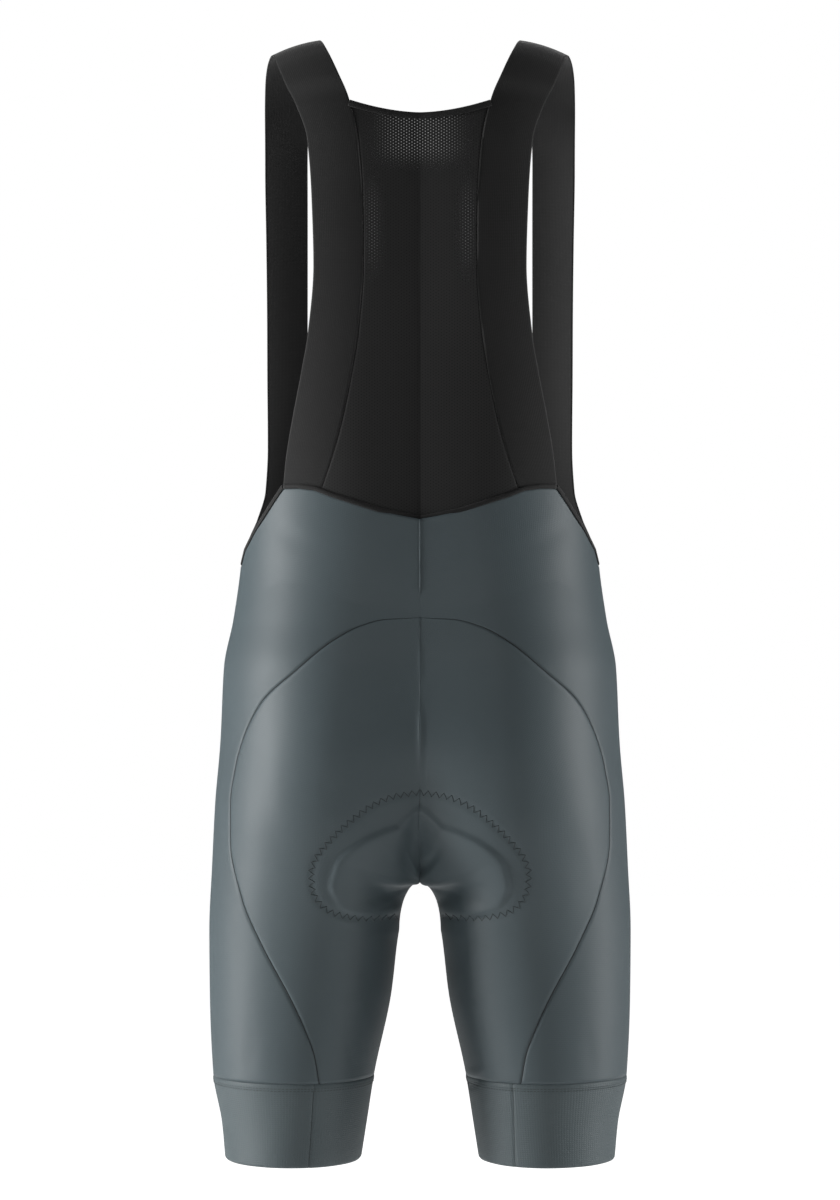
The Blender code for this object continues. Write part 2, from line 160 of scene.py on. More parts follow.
FORM_COLUMNS = ("height", "outer", "inner", "front", "back", "front_x", "back_x", "groove")
FORM = np.array((
    (0, 175, 53, 72, 74, 112, 112, 0),
    (32, 178, 48, 74, 77, 110, 110, 0),
    (76, 186, 41, 78, 82, 108, 108, 0),
    (146, 189, 26, 84, 88, 104, 102, 0),
    (205, 189.5, 18.5, 89, 96, 98, 94, 0),
    (262, 187, 0, 94, 110, 88, 86, 0),
    (321, 184, 0, 98, 124, 72, 80, 9),
    (376, 179, 0, 101, 129, 58, 74, 8),
    (441, 176, 0, 102, 123, 50, 66, 5),
    (484, 167.5, 0, 101, 112, 46, 58, 4),
    (535, 160.5, 0, 98, 100, 44, 50, 4),
    (600, 156, 0, 95, 92, 44, 46, 3),
    (700, 158, 0, 96, 90, 46, 46, 3),
    (800, 166, 0, 101, 98, 52, 48, 3),
    (900, 172, 0, 97, 103, 56, 50, 3),
    (960, 172, 0, 86, 96, 56, 50, 2),
))
CROTCH_HEIGHT = 248.0       # where the four panels meet
CROTCH_ROW = 262.0          # the row that ends there
ARCH_FOOT = 205.0           # below it the inner leg is straight
CLEFT_TOP = 345.0
RISE_TOP = 400.0
SAG_REACH = 85.0            # how far from the centre the rows bend down to the crotch
CROTCH_BLUR = 32.0          # reach of the rounding where the seat meets the inner thigh
END_TURN, END_SPAN = 1.15, 0.4      # the turn at which a row heads for its exact end, in radians


def spline(xs, ys, where):
    """Smooth curve through the points of a table that never overshoots them."""
    xs = np.asarray(xs, float)
    ys = np.asarray(ys, float)
    step = np.diff(xs)
    slope = np.diff(ys) / step
    tangent = np.zeros(len(xs))
    same_way = slope[:-1] * slope[1:] > 0
    mean = 2 * slope[:-1] * slope[1:] / np.where(same_way, slope[:-1] + slope[1:], 1)
    tangent[1:-1] = np.where(same_way, mean, 0)
    tangent[0] = slope[0]
    tangent[-1] = slope[-1]
    where = np.clip(where, xs[0], xs[-1])
    k = np.clip(np.searchsorted(xs, where, side="right") - 1, 0, len(step) - 1)
    s = (where - xs[k]) / step[k]
    value = ys[k] * (1 + 2 * s) * (1 - s) ** 2 + ys[k + 1] * s * s * (3 - 2 * s)
    return value + step[k] * (tangent[k] * s * (1 - s) ** 2 - tangent[k + 1] * s * s * (1 - s))


def form(column, height):
    return spline(FORM[:, 0], FORM[:, FORM_COLUMNS.index(column)], height)


def smoothstep(s):
    s = np.clip(s, 0, 1)
    return s * s * (3 - 2 * s)


def by_side(front, side, height):
    """Column front or its twin for the back, as side is +1 or -1."""
    twin = {"front": "back", "front_x": "back_x"}[front]
    return np.where(side > 0, form(front, height), form(twin, height))


def row_end(r, side):
    """Inner end of row r, on the front (+1) or the back (-1): x, y and height."""
    arch = np.clip((r - ARCH_FOOT) / (CROTCH_ROW - ARCH_FOOT), 0, 1) * math.pi / 2
    rise = np.clip((r - CROTCH_ROW) / (RISE_TOP - CROTCH_ROW), 0, 1) * math.pi / 2
    foot = form("inner", np.minimum(r, ARCH_FOOT))
    x = np.where(r < CROTCH_ROW, foot * np.cos(arch), 0.0)
    above = np.maximum(r, RISE_TOP)
    depth = by_side("front", side, above) - form("groove", above)
    y = side * np.where(r > CROTCH_ROW, depth * np.sin(rise), 0.0)
    height = np.where(r < ARCH_FOOT, r, ARCH_FOOT + (CROTCH_HEIGHT - ARCH_FOOT) * np.sin(arch))
    lift = CROTCH_HEIGHT + (RISE_TOP - CROTCH_HEIGHT) * (1 - np.cos(rise))
    height = np.where(r > CROTCH_ROW, lift, height)
    return x, y, np.where(r > RISE_TOP, r, height)


def eased_end(r, side):
    """y of the inner end of row r, evened out over the rows around it."""
    total, weights = 0.0, 0.0
    for offset in np.linspace(-1, 1, 9)[1:-1]:
        weight = 1 - abs(offset)
        total = total + weight * row_end(r + offset * CROTCH_BLUR, side)[1]
        weights += weight
    return total / weights


def cloth(t, r):
    """Points of the worn cloth's outer surface, in mm: x, y and height."""
    t, r = np.broadcast_arrays(np.asarray(t, float), np.asarray(r, float))
    side = np.where(t < 0.5, 1.0, -1.0)
    outer = form("outer", r)
    far = by_side("front", side, r)
    far_x = by_side("front_x", side, r)
    end_x, end_y, end_h = row_end(r, side)
    turn = np.abs(t - 0.5) * 2 * math.pi
    inner_turn = np.maximum(turn - math.pi / 2, 0)
    cleft = 1 - smoothstep((r - CROTCH_ROW) / (CLEFT_TOP - CROTCH_ROW))
    ease = cleft * np.cos(inner_turn) + (1 - cleft) * (0.5 + 0.5 * np.cos(2 * inner_turn))
    near = turn <= math.pi / 2
    at_end = smoothstep((inner_turn - END_TURN) / END_SPAN)
    end_y = end_y * at_end + eased_end(r, side) * (1 - at_end)
    x = np.where(near, far_x + (outer - far_x) * np.cos(turn),
                 far_x - (far_x - end_x) * np.sin(inner_turn))
    y = np.where(near, side * far * np.sin(turn), end_y + (side * far - end_y) * ease)
    sag = smoothstep(1 - (x - end_x) / SAG_REACH)
    return np.stack([x, y, r + (end_h - r) * sag], axis=-1)


def share_at(x, r, side):
    """t of the point of row r with this x, on the front (+1) or the back (-1)."""
    outer = form("outer", r)
    far_x = by_side("front_x", side, r)
    end_x = row_end(r, side)[0]
    wide = np.arccos(np.clip((x - far_x) / (outer - far_x), 0, 1))
    narrow = math.pi / 2 + np.arcsin(np.clip((far_x - x) / (far_x - end_x), 0, 1))
    turn = np.where(x > far_x, wide, narrow) / (2 * math.pi)
    return 0.5 - side * turn


def outward(t, r):
    """Outward normals of the cloth."""
    step = 0.002
    t = np.clip(t, step, 1 - step)
    normal = np.cross(cloth(t, r + 1) - cloth(t, r - 1), cloth(t + step, r) - cloth(t - step, r))
    return normal / np.linalg.norm(normal, axis=-1, keepdims=True)


HALF_AXIS = 100.0           # x of the upright axis that a piece of one half faces away from


def sheet_of(name, across, along, place, finish, wall, side, uv_size, closed=False):
    """A piece of cloth: a grid laid on place(u, v), in mm, and given its wall by Solidify.

    side is -1 for the left twin. uv_size is the cloth's real size in metres.
    """
    shape = bmesh.new()
    bmesh.ops.create_grid(shape, x_segments=across, y_segments=along, size=0.5, calc_uvs=True)
    verts = list(shape.verts)
    flat = np.array([vert.co[:2] for vert in verts]) + 0.5
    points = place(flat[:, 0], flat[:, 1])
    layer = shape.loops.layers.uv.verify()
    for face in shape.faces:
        for loop in face.loops:
            u, v = loop.vert.co.x + 0.5, loop.vert.co.y + 0.5
            loop[layer].uv = (side * u * uv_size[0], v * uv_size[1])
    for vert, (x, y, h) in zip(verts, points):
        vert.co = (side * x * MM, y * MM, (h - SHOULDER_HEIGHT) * MM)
    if closed:
        bmesh.ops.remove_doubles(shape, verts=shape.verts, dist=0.05 * MM)
    shape.normal_update()
    axis = side * HALF_AXIS * MM if points[:, 0].min() >= -1 else 0
    facing = 0.0
    for face in shape.faces:
        middle = face.calc_center_median()
        facing += face.normal.x * (middle.x - axis) + face.normal.y * middle.y
    if facing < 0:
        bmesh.ops.reverse_faces(shape, faces=shape.faces)
    data = bpy.data.meshes.new(name)
    shape.to_mesh(data)
    shape.free()
    data.shade_smooth()
    made = link(name, data, finish)
    solid = made.modifiers.new("wall", "SOLIDIFY")
    solid.thickness = wall * MM
    solid.offset = -1
    solid.use_quality_normals = True
    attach(made, "root")
    return made


def thread(name, paths, radius, finish):
    """Fine cords along paths of points in mm: a bevelled curve turned into a mesh."""
    curve = bpy.data.curves.new(name, "CURVE")
    curve.dimensions = "3D"
    curve.bevel_depth = radius * MM
    curve.bevel_resolution = 1
    curve.use_fill_caps = True
    for path in paths:
        line = curve.splines.new("POLY")
        line.points.add(len(path) - 1)
        for point, (x, y, h) in zip(line.points, path):
            point.co = (x * MM, y * MM, (h - SHOULDER_HEIGHT) * MM, 1)
    guide = bpy.data.objects.new(name, curve)
    data = bpy.data.meshes.new_from_object(guide)
    bpy.data.objects.remove(guide)
    data.name = name
    data.materials.clear()
    data.shade_smooth()
    made = link(name, data, finish)
    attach(made, "root")
    return made


def yarn(name, colour):
    """Spun polyester sewing thread, dull and a little fuzzy."""
    made, _, shader = new_material(name)
    shader.inputs["Base Color"].default_value = linear(colour)
    shader.inputs["Roughness"].default_value = 0.8
    shader.inputs["Sheen Weight"].default_value = 0.1
    return made


# ----------------------------------------------------------
# Grey panels: seat, side and front of each half, cut from a warp-knitted compression jersey of
# polyamide and elastane. They are joined edge to edge with flat seams, which sit in a shallow
# groove and throw a fine dark line.
# ----------------------------------------------------------

OVAL_SEAM = np.array((
    (88.5, 75), (93, 101), (101.5, 124), (114.5, 152), (139.5, 198),
    (157, 237), (168, 289), (168, 321), (163, 354), (153.5, 385),
    (138, 413), (108, 440), (78.5, 464), (53, 478), (30, 484), (0, 485),
))
BACK_TOP = np.array((
    (0, 571.5), (35, 578.5), (77, 592), (92, 598), (106, 600), (121, 600),
    (132, 584), (146, 563), (156, 545), (160, 531),
))
FRONT_TOP = np.array(((0, 548), (60, 550), (104, 560), (160, 531)))
BAND_HEIGHT = 75.0
OVAL_TOP = 485.0
SIDE_TIP = 531.0
WAIST_BACK = 571.5
LEVEL_START = 420.0
FRONT_SEAM = 0.40
YOKE_SHARE = 22 / 26        # where the side panel's rows pass from the oval seam to the yoke
EXACT_TOP = 535.0           # from here up the rows follow the top edge exactly
HIGHEST_ROW = 640.0
EVENING = 30                # steps of the table over which the top edge is evened out
ROW_WIDTH = 520.0           # cloth in half a row, in mm, for distances to its seams
FRONT_WIDTH = 200.0
CENTRE_SHARES = (0.0, 0.2, 0.38, 0.62, 1.0)
CLEFT_ROW = 320.0
OVAL_SHARE = 0.997          # the seat stops this far along the oval seam, short of its tip
TIP_GAP = 0.6
AT_EDGE = 0.0001
JERSEY_WALL = 1.0
SEAM_DEPTH = 0.75
SEAM_WIDTH = 1.5


def back_top(x):
    """Height of the jersey's top edge on the back."""
    return np.interp(x, *BACK_TOP.T)


def top_edge(t):
    """Row at which the jersey ends at t."""
    r = np.full(np.shape(t), WAIST_BACK)
    for _ in range(24):
        x = cloth(t, r)[..., 0]
        r = (r + np.where(t < 0.5, np.interp(x, *FRONT_TOP.T), back_top(x))) / 2
    return r


TABLE_T = np.linspace(0, 1, 801)
TABLE_TOP = top_edge(TABLE_T)
EVENED_TOP = np.convolve(np.pad(TABLE_TOP, EVENING, mode="edge"),
                         np.hanning(2 * EVENING + 1) / EVENING, mode="valid")


def climb(r):
    return smoothstep((r - LEVEL_START) / (SIDE_TIP - LEVEL_START))


def rise_at(t, name):
    """How far row name stands above its level at t: the exact edge shows in the top rows only."""
    exact = smoothstep((name - EXACT_TOP) / (WAIST_BACK - EXACT_TOP))
    top = np.interp(t, TABLE_T, TABLE_TOP) * exact + np.interp(t, TABLE_T, EVENED_TOP) * (1 - exact)
    return top - WAIST_BACK


def row_height(t, name):
    """Height r at which row name passes t: rows are level low down and end along the top edge."""
    t, name = np.broadcast_arrays(np.asarray(t, float), np.asarray(name, float))
    rise = rise_at(t, name)
    low = np.zeros(np.shape(rise))
    high = np.full(np.shape(rise), HIGHEST_ROW)
    for _ in range(26):
        middle = (low + high) / 2
        under = middle - rise * climb(middle) < name
        low = np.where(under, middle, low)
        high = np.where(under, high, middle)
    return (low + high) / 2


def seam_place(s):
    """(t, r) of the oval seam at shares s of its length, from the leg band to its top."""
    reach = np.append(0, np.cumsum(np.hypot(*np.diff(OVAL_SEAM, axis=0).T)))
    x = spline(reach, OVAL_SEAM[:, 0], s * reach[-1])
    height = spline(reach, OVAL_SEAM[:, 1], s * reach[-1])
    return share_at(x, height, -1), height


def centre_name(v, top):
    """Names of the rows at the centre or inseam, at shares v of the way up."""
    return spline(CENTRE_SHARES, (BAND_HEIGHT, ARCH_FOOT, CROTCH_ROW, CLEFT_ROW, top), v)


def between(start_t, start_r, end_t, end_name, u):
    """(t, r) on rows that run from seam points to the share end_t."""
    start_name = start_r - rise_at(start_t, start_r) * climb(start_r)
    t = start_t + (end_t - start_t) * u
    return t, row_height(t, start_name + (end_name - start_name) * u)


def groove(points, normals, edges):
    """Sinks the cloth beside its seams. edges holds distances to them, in mm."""
    sink = np.zeros(len(points))
    for distance in edges:
        sink = np.maximum(sink, SEAM_DEPTH * np.exp(-(distance / SEAM_WIDTH) ** 2))
    return points - normals * sink[:, None]


def close_centre(points, on_centre):
    """Brings the edge that lies on the centre plane back to it, so that the halves meet."""
    points[:, 0] = np.where(on_centre, -0.02, points[:, 0])
    return points


def seat_place(u, v, hand):
    """Seat panel: u from the oval seam to the centre, v from the leg band up."""
    start_t, start_r = seam_place(v * OVAL_SHARE)
    t, r = between(start_t, start_r, 1.0, centre_name(v, OVAL_TOP - TIP_GAP), u)
    width = np.abs(start_t - 1.0) * ROW_WIDTH
    normals = outward(t, r)
    points = cloth(t, r) + normals * seat_relief(t, r, hand)[:, None] + seat_dip(t, r)
    points = groove(points, normals, (u * width, (1 - u) * width))
    return close_centre(points, (u > 1 - AT_EDGE) & (r >= CROTCH_ROW - 1))


def side_place(u, v, hand):
    """Side panel: u from the oval seam, or the centre in its yoke, round to the front seam."""
    seam_t, seam_r = seam_place(np.minimum(v / YOKE_SHARE, 1))
    yoke_r = OVAL_TOP + (WAIST_BACK - OVAL_TOP) * np.maximum(v - YOKE_SHARE, 0) / (1 - YOKE_SHARE)
    on_yoke = v > YOKE_SHARE
    start_t = np.where(on_yoke, 1.0, seam_t)
    start_r = np.where(on_yoke, yoke_r, seam_r)
    end_name = BAND_HEIGHT + (WAIST_BACK - BAND_HEIGHT) * v
    t, r = between(start_t, start_r, FRONT_SEAM, end_name, u)
    width = np.abs(start_t - FRONT_SEAM) * ROW_WIDTH
    normals = outward(t, r)
    points = cloth(t, r) + normals * side_relief(t, r, hand)[:, None]
    points = groove(points, normals, (u * width, (1 - u) * width))
    return close_centre(points, on_yoke & (u < AT_EDGE))


def front_place(u, v, hand):
    """Front panel: u from the centre to the front seam, v from the leg band up."""
    end_name = BAND_HEIGHT + (WAIST_BACK - BAND_HEIGHT) * v
    start_t = np.zeros(len(u))
    start_r = row_height(start_t, centre_name(v, WAIST_BACK))
    t, r = between(start_t, start_r, FRONT_SEAM, end_name, u)
    normals = outward(t, r)
    points = cloth(t, r) + normals * side_relief(t, r, hand)[:, None]
    points = groove(points, normals, (u * FRONT_WIDTH, (1 - u) * FRONT_WIDTH))
    return close_centre(points, (u < AT_EDGE) & (r >= CROTCH_ROW - 1))


# Soft creases, a row each: side of the body (1 front), hand (1 right, -1 left, 0 both), x and
# height of the middle, lean from the upright in degrees, length, width, and depth, below 0 for a
# ridge.
CREASES = (
    (-1, -1, 9, 284, -8, 66, 8, 3.2),
    (-1, 1, 7, 268, 38, 30, 4.5, 2.6),
    (-1, 1, 24, 236, 30, 44, 7, 1.6),
    (-1, -1, 46, 223, 75, 46, 2.2, -0.9),
    (-1, -1, 63, 217, 67, 24, 2, -0.6),
    (-1, 0, 26, 238, 52, 46, 6, 0.9),
    (-1, -1, 24, 196, 24, 60, 6, 0.9),
    (-1, 1, 30, 180, 30, 70, 8, 0.7),
    (-1, -1, 40, 150, 14, 60, 8, 0.6),
    (-1, 0, 46, 262, 66, 38, 6, 0.5),
    (-1, 1, 48, 70, 50, 26, 4, 1.3),
    (-1, 1, 53, 82, 62, 24, 3.5, -0.8),
    (-1, -1, 60, 96, 12, 40, 6, 0.5),
    (-1, 0, 150, 100, -8, 36, 7, 0.4),
    (-1, 0, 120, 560, 58, 60, 9, 0.5),
    (-1, -1, 140, 330, 10, 80, 12, 0.6),
    (-1, 1, 146, 240, -6, 90, 12, 0.6),
    (1, 0, 24, 268, 60, 52, 7, 1.1),
    (1, 0, 40, 300, 70, 64, 8, 0.8),
    (1, 0, 30, 215, 40, 56, 7, 0.7),
    (1, 0, 80, 530, 62, 66, 9, 0.6),
    (1, 0, 62, 98, -10, 40, 6, 0.5),
)


CREASE_BEND = 0.004         # how much each crease curves
VALLEY_ROUNDING = 24.0      # reach of the rounding of the hollow along the centre
VALLEY_START, VALLEY_SPAN = 335.0, 45.0     # the heights over which it sets in


def crease_relief(t, r, hand):
    """Troughs and ridges of the cloth, in mm, and the rounding of the hollow along the centre."""
    x, _, height = np.moveaxis(cloth(t, r), -1, 0)
    facing = np.where(t < 0.5, 1, -1)
    slope = 2 * form("groove", r) / by_side("front_x", facing, r)
    rounded = np.sqrt(x ** 2 + VALLEY_ROUNDING ** 2) - np.abs(x)
    relief = slope * rounded * smoothstep((height - VALLEY_START) / VALLEY_SPAN)
    for side, on_hand, mid_x, mid_h, lean, length, width, depth in CREASES:
        if on_hand == -hand:
            continue
        lean = math.radians(lean)
        along = (x - mid_x) * math.sin(lean) + (height - mid_h) * math.cos(lean)
        off = (x - mid_x) * math.cos(lean) - (height - mid_h) * math.sin(lean)
        off = off + CREASE_BEND * along ** 2
        trough = np.exp(-(along / (length / 2)) ** 2 - (off / width) ** 2)
        relief -= np.where(facing == side, depth * trough, 0)
    return relief


# Outline of the pad's stitching on the seat: x and height of its right half.
PAD_LINE = np.array((
    (0, 333), (22, 330), (40, 323), (56, 312), (70, 300), (82, 287),
    (91, 275), (95, 262), (94, 248), (88, 236), (78, 228), (66, 224),
    (50, 221), (34, 220), (20, 219),
))
PAD_CHANNEL = 0.7           # how deep the stitching sinks the cloth
PAD_CHANNEL_WIDTH = 2.2


def distance_to_line(x, height, line):
    """Distance to a polyline in the plane of x and height, in mm."""
    best = np.full(len(x), 1e9)
    for (ax, ah), (bx, bh) in zip(line, line[1:]):
        dx, dh = bx - ax, bh - ah
        s = np.clip(((x - ax) * dx + (height - ah) * dh) / (dx * dx + dh * dh), 0, 1)
        best = np.minimum(best, np.hypot(x - ax - s * dx, height - ah - s * dh))
    return best


# The foam's edge, seen from its middle on the centre line: turn from upright in degrees, reach.
FOAM_MIDDLE = 250.0
FOAM_EDGE = (
    (0, 72), (20, 58), (40, 62), (54, 68), (72, 77), (90, 80),
    (104, 74), (118, 56), (140, 40), (180, 30),
)
FOAM_STEP = 2.2             # rise of the cloth over the foam's edge
FOAM_STEP_WIDTH = 5.0
FOAM_FOOT, FOAM_FOOT_SPAN = 215.0, 14.0     # the heights over which that step sets in
FOAM_DIP = 13.0             # depth of the hollow between the two lobes
DIP_WIDTH = 68.0
DIP_FOOT, DIP_FOOT_SPAN = 192.0, 44.0
INSEAM_REACH = 0.06         # in shares of the row
CROTCH_CLEAR, CROTCH_SPAN = 4.0, 20.0       # rows above the crotch where the relief sets in


def away_from_inseam(t, r):
    """0 at the inner leg seam and the crotch, where the panels meet, and 1 away from them."""
    away = smoothstep((0.5 - np.abs(t - 0.5)) / INSEAM_REACH)
    above = smoothstep((r - CROTCH_ROW - CROTCH_CLEAR) / CROTCH_SPAN)
    return 1 - (1 - away) * (1 - above)


def inside_foam(x, height):
    """Distance inside the foam's edge, in mm."""
    turn = np.degrees(np.arctan2(x, height - FOAM_MIDDLE))
    edge = np.interp(turn, *np.array(FOAM_EDGE).T)
    return edge - np.hypot(x, height - FOAM_MIDDLE)


def seat_relief(t, r, hand):
    """Foam showing through the seat: a step at its edge and the channel of its stitching."""
    x, _, height = np.moveaxis(cloth(t, r), -1, 0)
    off_line = distance_to_line(x, height, PAD_LINE)
    channel = -PAD_CHANNEL * np.exp(-(off_line / PAD_CHANNEL_WIDTH) ** 2)
    foam = FOAM_STEP * smoothstep((inside_foam(x, height) + 1.0) / FOAM_STEP_WIDTH)
    foam = foam * smoothstep((height - FOAM_FOOT) / FOAM_FOOT_SPAN)
    return (channel + foam + crease_relief(t, r, hand)) * away_from_inseam(t, r)


def seat_dip(t, r):
    """How far the seat sinks straight forward towards the crotch, as x, y and z in mm."""
    x, _, height = np.moveaxis(cloth(t, r), -1, 0)
    above_leg = smoothstep((height - DIP_FOOT) / DIP_FOOT_SPAN)
    depth = FOAM_DIP * smoothstep(inside_foam(x, height) / DIP_WIDTH) * above_leg
    depth = depth * away_from_inseam(t, r)
    return np.where(t > 0.5, depth, 0.0)[..., None] * (0, 1, 0)


def side_relief(t, r, hand):
    return crease_relief(t, r, hand) * away_from_inseam(t, r)


WAVE_REPEAT = 0.314         # a wave texture of scale 1 repeats after this many metres
FINE_WALES = 0.0014         # drawn coarser than the real 0.4 mm, so that they show
COURSES = 0.0018


def knit_height(tree, place, wale_pitch, course_pitch, distortion):
    """Height of a knit face: bands across for its wales times bands along for its courses."""
    bands = [
        add_node(tree, "ShaderNodeTexWave",
                 {"Scale": WAVE_REPEAT / pitch, "Distortion": distortion},
                 [("Vector", place, "UV")], bands_direction=way)
        for pitch, way in ((wale_pitch, "X"), (course_pitch, "Y"))
    ]
    return add_node(tree, "ShaderNodeMath", {}, [(0, bands[0], "Fac"), (1, bands[1], "Fac")],
                    operation="MULTIPLY")


def jersey(name, deep, light, rough, pitch=FINE_WALES, relief=0.0002):
    """Warp-knitted polyamide jersey, dyed grey: a smooth satin face with very fine wales."""
    made, tree, shader = new_material(name)
    place = add_node(tree, "ShaderNodeTexCoord")
    spot = add_node(tree, "ShaderNodeTexNoise", {"Scale": 9.0, "Detail": 3.0},
                    [("Vector", place, "Object")])
    grain = add_node(tree, "ShaderNodeTexNoise", {"Scale": 900.0, "Detail": 2.0},
                     [("Vector", place, "Object")])
    shade = add_node(tree, "ShaderNodeMix", {"A": linear(deep), "B": linear(light)},
                     [("Factor", spot, "Fac")], data_type="RGBA")
    tree.links.new(shade.outputs["Result"], shader.inputs["Base Color"])
    knit = knit_height(tree, place, pitch, COURSES, 0.6)
    rough_knit = add_node(tree, "ShaderNodeMath", {}, [(0, knit, "Value"), (1, grain, "Fac")],
                          operation="ADD")
    bump = add_node(tree, "ShaderNodeBump", {"Strength": 0.25, "Distance": relief},
                    [("Height", rough_knit, "Value")])
    tree.links.new(bump.outputs["Normal"], shader.inputs["Normal"])
    shader.inputs["Roughness"].default_value = rough
    shader.inputs["Specular IOR Level"].default_value = 0.35
    shader.inputs["Sheen Weight"].default_value = 0.06
    shader.inputs["Sheen Roughness"].default_value = 0.4
    shader.inputs["Sheen Tint"].default_value = linear("#aab4b8")
    return made


grey_jersey = jersey("satin_grey_jersey", "#434d51", "#4a5559", 0.5)
# Each panel: name, its solid, place, grid, size of its UV map, flat cut (metres) and flat area.
PANELS = (
    ("seat", "seat_panel", seat_place, (90, 190), (0.26, 0.5), (0.24, 0.43), 0.066),
    ("side", "side_panel", side_place, (130, 200), (0.3, 0.6), (0.28, 0.53), 0.092),
    ("front", "front_panel", front_place, (90, 190), (0.22, 0.5), (0.21, 0.5), 0.087),
)
for suffix, side in (("right", 1), ("left", -1)):
    for name, node, place, grid, uv_size, cut, area in PANELS:
        on_hand = functools.partial(place, hand=side)
        panel = sheet_of(f"{name}_{suffix}", *grid, on_hand, grey_jersey, JERSEY_WALL, side,
                         uv_size)
        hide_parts(f"{node}_{suffix}")

# Flat seams: the joined edges and their thread, sunk in the groove between two panels.
SEAM_RADIUS = 0.62
PAD_ZIGZAG = 6.8            # length of one zigzag of the pad's stitching
PAD_ZIG_REACH = 2.6
FRONT_CENTRE_TOP = 547.0


def on_cloth(t, r, lift, hand=1):
    """Points of the cloth, with the relief it has in that place, moved out by lift."""
    t, r = np.broadcast_arrays(np.asarray(t, float), np.asarray(r, float))
    relief = np.where(t > 0.5, seat_relief(t, r, hand), side_relief(t, r, hand))
    return cloth(t, r) + outward(t, r) * (relief + lift)[:, None] + seat_dip(t, r)


def mirrored(path, side):
    return path * (side, 1, 1)


def seam_paths():
    """Oval, inner leg and front seams of both halves, then the two centre seams."""
    along = np.linspace(0, 1, 200)
    sunk = -SEAM_DEPTH - 0.1
    leg = np.linspace(BAND_HEIGHT, CROTCH_ROW, 60)
    flank_rows = row_height(np.full(120, FRONT_SEAM), np.linspace(BAND_HEIGHT, WAIST_BACK, 120))
    paths = []
    for side in (1, -1):
        for t, r in (seam_place(along), (np.ones(60) - 1e-6, leg), (FRONT_SEAM, flank_rows)):
            paths.append(mirrored(on_cloth(t, r, sunk, side), side))
    for t, top in ((1.0, WAIST_BACK - 0.5), (0.0, FRONT_CENTRE_TOP)):
        rows = np.linspace(CROTCH_ROW, top, 150)
        centre = on_cloth(np.full(150, t), rows, sunk)
        paths.append(centre * (0, 1, 1))
    return paths


def along_line(line, spacing):
    """Evenly spaced points of a polyline, with its normal at each."""
    reach = np.append(0, np.cumsum(np.hypot(*np.diff(line, axis=0).T)))
    count = int(reach[-1] / spacing) + 1
    where = np.linspace(0, reach[-1], count)
    points = np.stack([spline(reach, line[:, k], where) for k in (0, 1)], axis=-1)
    slope = np.gradient(points, axis=0)
    slope /= np.linalg.norm(slope, axis=1)[:, None]
    return points, np.stack([-slope[:, 1], slope[:, 0]], axis=-1)


def pad_zigzag(side):
    """Zigzag along the pad's outline. (t, r) of each point is found by small steps."""
    points, normal = along_line(PAD_LINE, PAD_ZIGZAG / 6)
    beat = np.arange(len(points)) / 3.0
    swing = np.abs(beat % 2 - 1) * 2 - 1
    points = points + normal * (swing * PAD_ZIG_REACH)[:, None]
    t = share_at(np.maximum(points[:, 0], 0.3), points[:, 1], -1)
    for _ in range(12):
        at = cloth(t, points[:, 1])
        t = t + (at[:, 0] - points[:, 0]) * 0.0006
    r = points[:, 1].copy()
    for _ in range(40):
        at = cloth(t, r)
        r += (points[:, 1] - at[:, 2]) * 0.7
        t = np.clip(t + (at[:, 0] - points[:, 0]) * 0.0012, 0.5, 1.0)
    return mirrored(on_cloth(t, r, 0.12, side), side)


seam_thread = yarn("grey_seam_thread", "#23292b")
thread("grey_seams", seam_paths(), SEAM_RADIUS, seam_thread)
pad_thread = yarn("pad_stitch_thread", "#2b3234")
thread("pad_stitching", [pad_zigzag(1), pad_zigzag(-1)], 0.32, pad_thread)

# ----------------------------------------------------------
# Leg bands: a wide tube of firmer knit at each hem that grips the thigh. It is joined to the leg
# by an overlocked seam, with a row of cover stitch below it, and closed by one upright seam.
# ----------------------------------------------------------

BAND_WALL = 1.3
BAND_ROUND = 470.0          # round the band, in mm
BAND_SEAM_X = {1: (81.5, 84.0), -1: (93.0, 98.0)}    # band seam's x at its top and at the hem
STITCH_DROP = 5.2           # cover stitch below the join
STITCH_PITCH = 3.2
HEM_ROLL = 2.5
BAND_CUT = (0.45, 0.075)


def band_seam_share(r, side):
    """t of the band's upright seam at height r."""
    top, hem = BAND_SEAM_X[side]
    return share_at(hem + (top - hem) * r / BAND_HEIGHT, r, -1)


def band_place_on(side):
    """Place function of a band: u all round it, v up it. It stands a little proud of the leg."""
    def place(u, v):
        r = v * BAND_HEIGHT
        normals = outward(u, r)
        beside = np.abs(u - band_seam_share(r, side)) * BAND_ROUND
        dent = 0.55 * np.exp(-(beside / 1.3) ** 2)
        step = 0.35 * smoothstep((BAND_HEIGHT - STITCH_DROP - r) / 1.5)
        roll = -0.9 * (1 - np.sqrt(1 - np.clip(1 - r / HEM_ROLL, 0, 1) ** 2))
        waver = 0.25 * np.sin(u * 43.0) * np.sin(u * 17.0 + 2.0 * side) * (1 - v)
        relief = 0.5 - step - dent + roll + waver + crease_relief(u, r, side)
        return groove(cloth(u, r) + normals * relief[:, None], normals, ((1 - v) * BAND_HEIGHT,))
    return place


def band_stitches(side):
    """Two rows of cover stitch round the band, and the thread of its upright seam."""
    paths = []
    count = int(BAND_CUT[0] / MM / STITCH_PITCH)
    for drop in (STITCH_DROP - 1.0, STITCH_DROP + 1.0):
        for k in range(count):
            u = (k + np.array((0.15, 0.5, 0.85))) / count
            r = np.full(3, BAND_HEIGHT - drop)
            out = crease_relief(u, r, side) + 0.45
            paths.append(mirrored(cloth(u, r) + outward(u, r) * out[:, None], side))
    r = np.linspace(0.8, BAND_HEIGHT - 0.5, 60)
    share = band_seam_share(r, side)
    paths.append(mirrored(cloth(share, r) + outward(share, r) * -0.35, side))
    return paths


